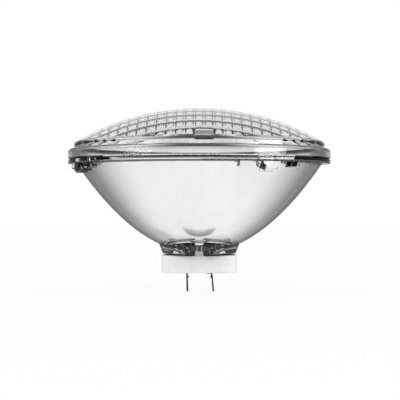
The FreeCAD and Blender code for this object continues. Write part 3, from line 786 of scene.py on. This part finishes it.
# the shoulder's rounding touches the dome from inside, so its centre lies on a
# smaller dome
inner_radius = SHOULDER_RADIUS - SHOULDER_ROUND
inner_dome = DOME_RADIUS - SHOULDER_ROUND
round_end = math.degrees(math.acos(inner_radius / inner_dome))
round_centre = (
    inner_radius, DOME_CENTRE + math.sqrt(inner_dome ** 2 - inner_radius ** 2),
)
lens_profile = [
    (0, SEAM_LEVEL), (FACE_RING, SEAM_LEVEL), (RIM_RADIUS - SEAM_CHAMFER, SEAM_LEVEL),
    (RIM_RADIUS, SEAM_LEVEL + SEAM_CHAMFER),
    *arc((RIM_RADIUS - RIM_ROUND, LENS_RIM_TOP - RIM_ROUND), RIM_ROUND, 0, 90, steps=8),
    (SHOULDER_RADIUS + SHOULDER_CHAMFER, LENS_RIM_TOP),
    (SHOULDER_RADIUS, LENS_RIM_TOP + SHOULDER_CHAMFER),
    *arc(round_centre, SHOULDER_ROUND, 0, round_end, steps=8),
    *arc((0, DOME_CENTRE), DOME_RADIUS, round_end, 90, steps=60)[1:-1],
    (0, DOME_CENTRE + DOME_RADIUS),
]
print("points in the outline:", len(lens_profile))

# %% [markdown]
# ## Putting the lens together
# The fluted block is trimmed to an oval and cut out of the dome from below. A wall and
# a narrow ledge stay round the flutes, and through them the bright wall behind the lamp
# shines at the lens's foot. Large flat faces of clear glass show every bend of the
# shading, so the smoothing goes by the size of the faces.

# %% Make the lens
FIELD_ACROSS = 0.0799
FIELD_ALONG = 0.0764
LEDGE_LEVEL = 0.0836
CUT_FOOT = SEAM_LEVEL - 0.005
CUT_TOP = 0.13
CREASE = 40
AREA_WEIGHT = 100


def smooth_by_area(piece):
    """Smooth shading that keeps large faces flat and edges above the crease sharp."""
    piece.data.polygons.foreach_set("use_smooth", [True] * len(piece.data.polygons))
    piece.data.set_sharp_from_angle(angle=math.radians(CREASE))
    weigh = piece.modifiers.new("weigh", "WEIGHTED_NORMAL")
    weigh.keep_sharp = True
    weigh.weight = AREA_WEIGHT
    apply_changes(piece)


fluted_lens = turned("fluted_lens", lens_profile, closed=True)
well = disc("well", FIELD_ACROSS, CUT_FOOT, CUT_TOP)
well.scale.y = FIELD_ALONG / FIELD_ACROSS
flutes = flute_block("flutes")
combine(flutes, well, "INTERSECT")
print("flute block faces:", len(flutes.data.polygons))
combine(fluted_lens, flutes, "DIFFERENCE")
combine(fluted_lens, disc("mouth", CAVITY_RADIUS, CUT_FOOT, LEDGE_LEVEL), "DIFFERENCE")
smooth_by_area(fluted_lens)
give_finish(fluted_lens, clear_glass)
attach(fluted_lens, "root")
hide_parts("lens")
fluted_lens.data.calc_loop_triangles()
print("lens triangles:", len(fluted_lens.data.loop_triangles))

# %% [markdown]
# ## The filament
# The filament is tungsten wire wound to a fine coil, hung in two peaks between the
# leads. The solid part is a plain rod of the coil's outer size. Seen through the lens
# its turns count, so the winding is made as a curve, and its bent middle line first.

# %% The filament's middle line
FILAMENT_START = 0.03993
FILAMENT_LOW = 0.04093
FILAMENT_HIGH = 0.04843
FILAMENT_PITCH = 0.004
FILAMENT_BEND = 0.0009
BEND_POINTS = 9

bends = np.array([
    (2, FILAMENT_START), (2, FILAMENT_LOW), (1, FILAMENT_HIGH), (0, FILAMENT_LOW),
    (-1, FILAMENT_HIGH), (-2, FILAMENT_LOW), (-2, FILAMENT_START),
]) * (FILAMENT_PITCH, 1)
middle_line = [bends[0]]
for before, corner, after in zip(bends, bends[1:], bends[2:]):
    into = (corner - before) / np.linalg.norm(corner - before)
    out = (after - corner) / np.linalg.norm(after - corner)
    setback = FILAMENT_BEND * math.tan(math.acos(np.clip(into @ out, -1, 1)) / 2)
    start, end = corner - into * setback, corner + out * setback
    # a curve pulled towards the corner, near enough a round bend
    for share in np.linspace(0, 1, BEND_POINTS):
        middle_line.append(
            start * (1 - share) ** 2
            + 2 * corner * share * (1 - share)
            + end * share ** 2
        )
middle_line = np.array([*middle_line, bends[-1]])
step_lengths = np.linalg.norm(np.diff(middle_line, axis=0), axis=1)
travelled = np.concatenate([[0], np.cumsum(step_lengths)])
print("middle line in mm:", round(1000 * travelled[-1], 1))

# %% [markdown]
# ## The winding
# A screw modifier winds only about a straight axis. So each point of the wire is set
# out from the middle line by the coil's radius, at an angle that grows with the way
# travelled.

# %% Wind the coil round its middle line
COIL_RADIUS = 0.00058
COIL_PITCH = 0.00045
COIL_STEPS = 14

turns = travelled[-1] / COIL_PITCH
places = np.linspace(0, travelled[-1], int(turns * COIL_STEPS))
line_x = np.interp(places, travelled, middle_line[:, 0])
line_z = np.interp(places, travelled, middle_line[:, 1])
run_x, run_z = np.gradient(line_x), np.gradient(line_z)
length = np.hypot(run_x, run_z)
angle = 2 * np.pi * places / COIL_PITCH
coil_x = line_x - COIL_RADIUS * np.sin(angle) * run_z / length
coil_y = COIL_RADIUS * np.cos(angle)
coil_z = line_z + COIL_RADIUS * np.sin(angle) * run_x / length
print("coil turns:", round(turns))

# %% [markdown]
# ## The wire's thickness
# The points become a curve, and the curve's own bevel gives it the round section of the
# wire. It is turned into a mesh at the end, because the finished model is all meshes.

# %% Give the winding its thickness
COIL_WIRE = 0.00011

coil_curve = bpy.data.curves.new("coiled_filament", "CURVE")
coil_curve.dimensions = "3D"
coil_curve.bevel_depth = COIL_WIRE
coil_curve.bevel_resolution = 1
winding = coil_curve.splines.new("POLY")
winding.points.add(len(places) - 1)
winding.points.foreach_set(
    "co", np.stack([coil_x, coil_y, coil_z, np.ones_like(coil_x)], -1).ravel()
)
wound = add_object("wound_line", coil_curve)
graph = bpy.context.evaluated_depsgraph_get()
coil_mesh = bpy.data.meshes.new_from_object(wound.evaluated_get(graph))
bpy.data.objects.remove(wound)
coil_mesh.polygons.foreach_set("use_smooth", [True] * len(coil_mesh.polygons))
coiled_filament = add_object("coiled_filament", coil_mesh)
give_finish(coiled_filament, tungsten)
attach(coiled_filament, "root")
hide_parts("filament")
print("coil faces:", len(coil_mesh.polygons))

# %% [markdown]
# ## Cement and painted shade under the heel
# Cement fills the joint between the glass heel and the ceramic cap. Here it is black
# and wets the glass, as painted shade for the shade in the heel's hollow, so the heel
# looks black from the side. The solid gasket could be kept, but it only touches the
# glass.
# This layer is a disc with room for the two ferrules, the pumping tube and the key, and
# it sinks 0.04 mm into the glass.

# %% Make the cement seat
HEEL_LEVEL = 0.0127
CEMENT_SINK = 0.00004
CEMENT_TOP = HEEL_LEVEL + CEMENT_SINK
CEMENT_FOOT = 0.0119
CEMENT_RADIUS = 0.0226
FERRULE_ROOM = 0.0056
TUBE_ROOM = 0.0033
KEY_ROOM = 0.0064
KEY_BACK = -0.0110
CUTTER_SIZE = 0.03

# a black disc of painted shade, for the shade in the heel's hollow
cement = disc("cement_shade_seat", CEMENT_RADIUS, CEMENT_FOOT, CEMENT_TOP, steps=128)
for centre_x, room in (
    (LEAD_OFFSET, FERRULE_ROOM), (-LEAD_OFFSET, FERRULE_ROOM), (0, TUBE_ROOM),
):
    drill_bit = disc("drill_bit", room, 0, CUTTER_SIZE, steps=48)
    drill_bit.location.x = centre_x
    combine(cement, drill_bit, "DIFFERENCE")
key_cutter = box(
    "key_cutter", (KEY_ROOM, CUTTER_SIZE, CUTTER_SIZE),
    (0, KEY_BACK - CUTTER_SIZE / 2, HEEL_LEVEL),
)
combine(cement, key_cutter, "DIFFERENCE")
give_finish(cement, black_cement_and_shade)
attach(cement, "root")
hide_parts("seat_gasket")
print("cement faces:", len(cement.data.polygons))

# %% [markdown]
# ## Painted shade in the rear recess
# Front and back of the heel have a small arched recess. The rear one is closed by a
# thin black half disc with the cement's finish, painted shade that gives the dark
# ground seen from the front behind the clear glass. It could be painted on the glass,
# but then it would take the glass's shine. Half a thin disc fills it.

# %% Close the rear recess
ARCH_WALL = 0.0241
ARCH_RADIUS = 0.0073
PLUG_START = 0.00005
PLUG_END = 0.0006
LONG_CUT = 0.1

# the half disc is painted shade that blocks the view through the recess
plug = disc("rear_shade_plug", ARCH_RADIUS, PLUG_START, PLUG_END, steps=64)
plug.rotation_euler.x = math.radians(-90)
plug.location = (0, ARCH_WALL, HEEL_LEVEL)
lower_half = box(
    "lower_half", (CUTTER_SIZE, LONG_CUT, CUTTER_SIZE),
    (0, 0, HEEL_LEVEL - CUTTER_SIZE / 2),
)
combine(plug, lower_half, "DIFFERENCE")
give_finish(plug, black_cement_and_shade)
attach(plug, "root")
print("plug faces:", len(plug.data.polygons))

# %% [markdown]
# ## Cement crumbs
# A few crumbs of cement stick under the front edge of the cap, beside the right blade.
# They could be modelled one by one, but no two crumbs are alike, and nobody looks at
# one for long. Each starts as a small ball, and chance moves its corners in and out.
# The seed is fixed, so that they come out the same every time.

# %% Cement crumbs
CRUMB_PLACES = ((0.0054, -0.0146), (0.0064, -0.0143), (0.0075, -0.0147))
CRUMB_RADIUS = 0.0004
CRUMB_ROUGH = 0.25
CRUMB_SEED = 7

chance = np.random.default_rng(CRUMB_SEED)
crumbs_mesh = bpy.data.meshes.new("cement_crumbs")
lumps = bmesh.new()
for crumb_x, crumb_y in CRUMB_PLACES:
    ball = bmesh.ops.create_icosphere(lumps, subdivisions=2, radius=CRUMB_RADIUS)
    for corner in ball["verts"]:
        corner.co *= 1 + CRUMB_ROUGH * chance.uniform(-1, 1)
        corner.co += Vector((crumb_x, crumb_y, -0.5 * CRUMB_RADIUS))
lumps.to_mesh(crumbs_mesh)
lumps.free()
crumbs = add_object("cement_crumbs", crumbs_mesh)
give_finish(crumbs, black_cement_and_shade)
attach(crumbs, "root")
print("crumb faces:", len(crumbs_mesh.polygons))

# %% [markdown]
# ## The table
# The lamp stands on its blades on a plain pale sheet, which takes its soft shadow. A
# curved backdrop would do too, but the room behind is even white, so one flat square
# is enough.

# %% Table top
FLOOR_LEVEL = -0.013
TABLE_HALF = 2.0

table_mesh = bpy.data.meshes.new("table_top")
table_corners = [
    (x * TABLE_HALF, y * TABLE_HALF, 0) for x, y in ((-1, -1), (1, -1), (1, 1), (-1, 1))
]
table_mesh.from_pydata(table_corners, [], [(0, 1, 2, 3)])
table = add_object("table_top", table_mesh)
table.location = (0, 0, FLOOR_LEVEL)
print("table width in m:", 2 * TABLE_HALF)


# %% [markdown]
# ## Telling the rays apart
# Shiny glass shows the room more than itself, so the room is built with care. What a
# shiny surface sees of it can differ from what the camera sees, because each ray says
# where it comes from. Real cards held round the lamp would do the same, but they would
# also stand in other views.

# %% Helpers for the room
def ray_kinds(tree):
    """Marks for rays from the camera, and for rays that a shiny surface sends on."""
    rays = tree.nodes.new("ShaderNodeLightPath")
    shiny = math_node(
        tree, "MAXIMUM", rays.outputs["Is Glossy Ray"],
        rays.outputs["Is Transmission Ray"],
    )
    return rays.outputs["Is Camera Ray"], shiny


def dimmed(tree, share, amount):
    """The brightness that is left where a shade of some amount covers a share."""
    return math_node(tree, "SUBTRACT", 1.0, math_node(tree, "MULTIPLY", share, amount))


def mixed(tree, share, first, second):
    """The first shader where the share is 0, the second where it is 1."""
    node = tree.nodes.new("ShaderNodeMixShader")
    for socket, value in zip(node.inputs, (share, first, second)):
        tree.links.new(value, socket)
    return node.outputs[0]


def ramp(tree, value, stops):
    """A grey scale given by pairs of place (0 to 1) and brightness."""
    node = tree.nodes.new("ShaderNodeValToRGB")
    tree.links.new(value, node.inputs["Fac"])
    elements = node.color_ramp.elements
    while len(elements) < len(stops):
        elements.new(0.5)
    for element, (place, grey) in zip(elements, stops):
        element.position = place
        element.color = (grey, grey, grey, 1)
    return node.outputs["Color"]


# %% [markdown]
# ## The table in the mirror
# To shiny surfaces the table is white in front and right below the lamp, and darkens to
# the sides and behind, as a table in a dark room does. The bowl mirrors that as a pale
# middle between two grey bands. Lamps could make the same pattern, but only by trial,
# and the brightness by place is exact.

# %% How bright the mirror sees the table
FAN_FOOT = (0.03, 0.03)
FAN_SCALE = 0.1
# brightness against the slant of the line from the lamp, for slants from -1 to 9
FAN_STOPS = (
    (0.0, 1.0), (0.03, 1.0), (0.05, 0.93), (0.075, 0.78), (0.1, 0.57), (0.12, 0.43),
    (0.14, 0.33), (0.185, 0.26), (0.26, 0.2), (0.5, 0.2), (0.8, 0.4), (1.0, 0.55),
)

pale_table, table_shader = start_material(
    "pale_table", Base_Color=(0.9, 0.9, 0.9, 1), Roughness=0.8,
)
tree = pale_table.node_tree
x, y, _ = coordinates(tree, "Object")
aside = math_node(tree, "ABSOLUTE", x)
slant = math_node(
    tree, "DIVIDE", math_node(tree, "SUBTRACT", y, FAN_FOOT[1]),
    math_node(tree, "ADD", aside, FAN_FOOT[0]),
)
fan = math_node(tree, "MULTIPLY_ADD", slant, FAN_SCALE, FAN_SCALE, clamp=True)
glow = ramp(tree, fan, FAN_STOPS)
print("brightness steps:", len(FAN_STOPS))

# %% [markdown]
# ## A crescent in front of the cap
# Low in the bowl the photo shows a dark crescent, where the mirror sees the shade in
# front of the cap. A dark card could lie there, but the table's own brightness does it
# without a new piece: two circles bound the crescent, and it fades to its sides.

# %% The crescent
CRESCENT_CENTRE = -0.0332
CRESCENT_INNER = (0.003, 0.0205)
CRESCENT_OUTER = (0.0245, 0.0208)
CRESCENT_FRONT = (-0.028, -0.020)
CRESCENT_SIDES = (0.008, 0.023)
CRESCENT_FADE = 0.55
CRESCENT_DARK = 0.72

forward = math_node(tree, "ADD", y, -CRESCENT_CENTRE)
spot = math_node(
    tree, "SQRT", math_node(tree, "ADD", math_node(tree, "POWER", x, 2.0),
                            math_node(tree, "POWER", forward, 2.0)),
)
crescent = product(
    tree, soft_step(tree, spot, *CRESCENT_INNER),
    soft_step(tree, spot, *CRESCENT_OUTER), soft_step(tree, y, *CRESCENT_FRONT),
    dimmed(tree, soft_step(tree, aside, *CRESCENT_SIDES), CRESCENT_FADE),
)
print("table nodes:", len(tree.nodes))

# %% [markdown]
# ## Put the table's looks together
# Three looks are mixed by the kind of ray. Shiny surfaces get the pattern. The camera
# gets plain white with a tenth of the matt sheet in it, so that the lamp's soft shadow
# shows. All else gets the pale matt sheet, which lights the lamp from below. Three
# tables could not lie in one place, but one finish can have three looks.

# %% The table's finish
CAMERA_SHARE = 0.9

mirrored = tree.nodes.new("ShaderNodeEmission")
tree.links.new(glow, mirrored.inputs["Color"])
tree.links.new(dimmed(tree, crescent, CRESCENT_DARK), mirrored.inputs["Strength"])
plain_white = tree.nodes.new("ShaderNodeEmission")
camera_rays, shiny_rays = ray_kinds(tree)
seen = mixed(
    tree, math_node(tree, "MULTIPLY", camera_rays, CAMERA_SHARE),
    table_shader.outputs[0], plain_white.outputs[0],
)
whole = mixed(tree, shiny_rays, seen, mirrored.outputs[0])
tree.links.new(whole, tree.nodes["Material Output"].inputs["Surface"])
give_finish(table, pale_table)
print("table nodes in all:", len(tree.nodes))

# %% [markdown]
# ## The room around
# To the camera and to matt surfaces the room is even white. Clear and shiny surfaces
# see a darker strip at the horizon, dark side walls and a dark ceiling, which draw the
# edges of the flutes as dark lines. Walls could be built, but the direction of a ray
# is enough to say what it would meet.

# %% The room's brightness by direction
SKY_LEVEL = 1.1
HORIZON_TOP = 0.12
HORIZON_DARK = 0.45
OVERHEAD_ZONE = (0.6, 0.9)
OVERHEAD_DARK = 0.95
SIDE_ZONE = (0.2, 0.45)
SIDE_TOP = (0.6, 0.2)
SIDE_DARK = 0.75

world = bpy.data.worlds.new("studio_air")
bpy.context.scene.world = world
world.use_nodes = True
air = world.node_tree
x, y, z = coordinates(air, "Generated")
aside = math_node(air, "ABSOLUTE", x)
sides = product(air, soft_step(air, aside, *SIDE_ZONE), soft_step(air, z, *SIDE_TOP))
horizon = soft_step(air, z, HORIZON_TOP, 0.0)
overhead = soft_step(air, z, *OVERHEAD_ZONE)
level = math_node(
    air, "SUBTRACT", SKY_LEVEL, math_node(air, "MULTIPLY", horizon, HORIZON_DARK)
)
level = product(
    air, level, dimmed(air, overhead, OVERHEAD_DARK), dimmed(air, sides, SIDE_DARK)
)
print("room nodes:", len(air.nodes))

# %% [markdown]
# ## A bright window
# One bright window to the right of the camera gives the rim its highlight. A lamp there
# would light the ceramic too. As a bright patch in the room that only shiny surfaces
# see, it touches nothing else.

# %% The window and the world
WINDOW_LEVEL = 7.0
WINDOW_NEAR = (0.765, 0.785)
WINDOW_FAR = (0.985, 0.975)
WINDOW_FOOT = (-0.12, -0.09)
WINDOW_TOP = (0.12, 0.08)
WINDOW_FRONT = (0.0, -0.05)

window = product(
    air, soft_step(air, x, *WINDOW_NEAR), soft_step(air, x, *WINDOW_FAR),
    soft_step(air, z, *WINDOW_FOOT), soft_step(air, z, *WINDOW_TOP),
    soft_step(air, y, *WINDOW_FRONT), WINDOW_LEVEL,
)
level = math_node(air, "ADD", level, window)
_, shiny_rays = ray_kinds(air)
strength = math_node(
    air, "ADD", math_node(air, "MULTIPLY", shiny_rays, level),
    math_node(air, "SUBTRACT", 1.0, shiny_rays),
)
background = air.nodes["Background"]
background.inputs["Color"].default_value = (1, 1, 1, 1)
air.links.new(strength, background.inputs["Strength"])
print("room nodes with the window:", len(air.nodes))

# %% [markdown]
# ## Lamps
# Three large, weak lamps lift the matt ceramic a little: one in front, two at the
# sides. One strong lamp would be simpler, but it would cast a hard shadow. They are
# kept out of reflections, because the room already has what the glass shows.

# %% Lamps
# place, size in metres and power in watts
SOFT_BOXES = {
    "front_box": ((0.1, -0.9, 0.05), 0.6, 1.2),
    "left_box": ((-0.8, -0.25, 0.05), 0.5, 1.6),
    "right_box": ((0.8, -0.25, 0.05), 0.5, 1.6),
}
LAMP_TARGET = Vector((0, 0, 0.02))

for name, (place, size, power) in SOFT_BOXES.items():
    light = bpy.data.lights.new(name, "AREA")
    light.shape = "SQUARE"
    light.size = size
    light.energy = power
    lamp = add_object(name, light)
    lamp.location = place
    towards = LAMP_TARGET - Vector(place)
    lamp.rotation_euler = towards.to_track_quat("-Z", "Y").to_euler()
    lamp.visible_glossy = False
    lamp.visible_transmission = False

scene = bpy.context.scene
scene.view_settings.view_transform = "Standard"
